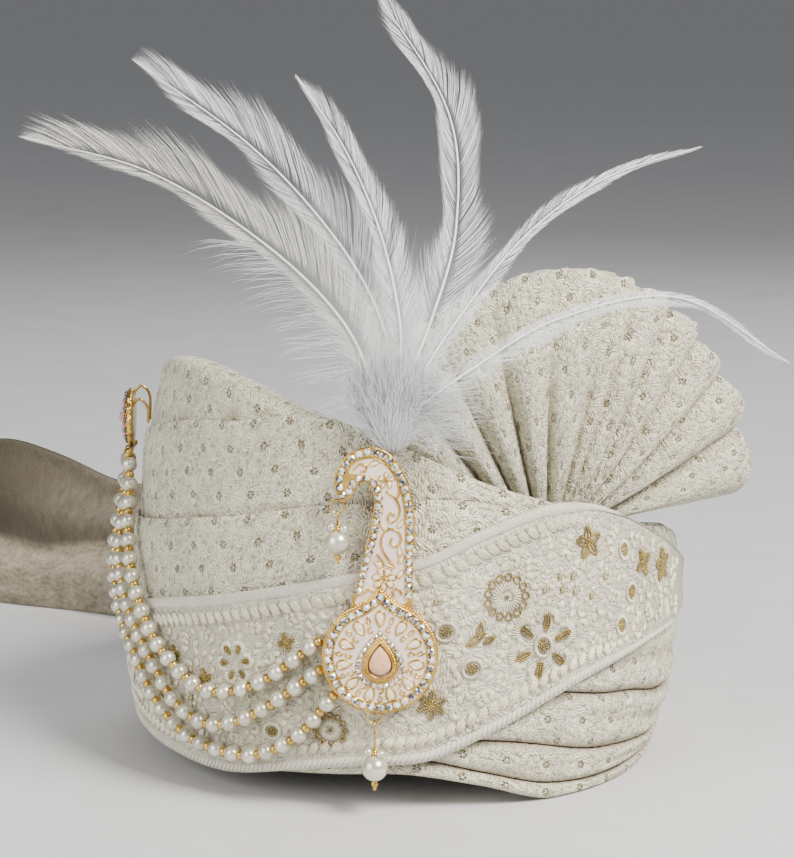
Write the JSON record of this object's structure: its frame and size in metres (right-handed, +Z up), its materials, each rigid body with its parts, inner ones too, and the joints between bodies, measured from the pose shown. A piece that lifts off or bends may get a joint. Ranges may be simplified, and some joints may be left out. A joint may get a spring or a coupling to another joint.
{
  "type": "tied turban",
  "caption": "Tied turban (pagri) of wound embroidered cloth with a pleated fan, a feather plume, a jewelled brooch and swags of pearls; open below for the head.",
  "frame": {"origin": "centre of the head opening, on the plane that the turban rests on", "axes": "+Z up; the front with the brooch faces -Y; +X is to the right as seen from the front"},
  "size_m": [0.3671, 0.3917, 0.2988],
  "materials": {
    "ivory_cloth": "dense raised thread work with small gold motifs",
    "band_cloth": "embroidered in ivory and gold thread",
    "plain_cloth": "plain weave",
    "beige_cloth": "soft weave",
    "feather": "loose down and vanes",
    "gold": "polished gilt",
    "enamel": "gloss enamel",
    "peach_stone": "polished cabochon",
    "pink_stone": "polished stones",
    "pearl": "pearl lustre"
  },
  "bodies": {
    "root": {"crown": "plain_cloth", "wrap_body": "ivory_cloth", "wrap_upper": "ivory_cloth", "wrap_lower": "ivory_cloth", "side_roll_1": "ivory_cloth", "side_roll_2": "ivory_cloth", "side_roll_3": "ivory_cloth", "side_roll_4": "ivory_cloth", "band": "band_cloth", "fan": "ivory_cloth", "tail": "beige_cloth", "feather_plume": "feather", "brooch_frame": "gold", "brooch_neck_enamel": "enamel", "brooch_base_enamel": "enamel", "brooch_stone": "peach_stone", "tip_drop_pin": "gold", "tip_drop_pearl": "pearl", "bottom_drop_pin": "gold", "bottom_drop_pearl": "pearl", "pearl_string_1": "pearl", "pearl_string_2": "pearl", "pearl_string_3": "pearl", "side_brooch_frame": "gold", "side_brooch_stones": "pink_stone"}
  },
  "joints": []
}
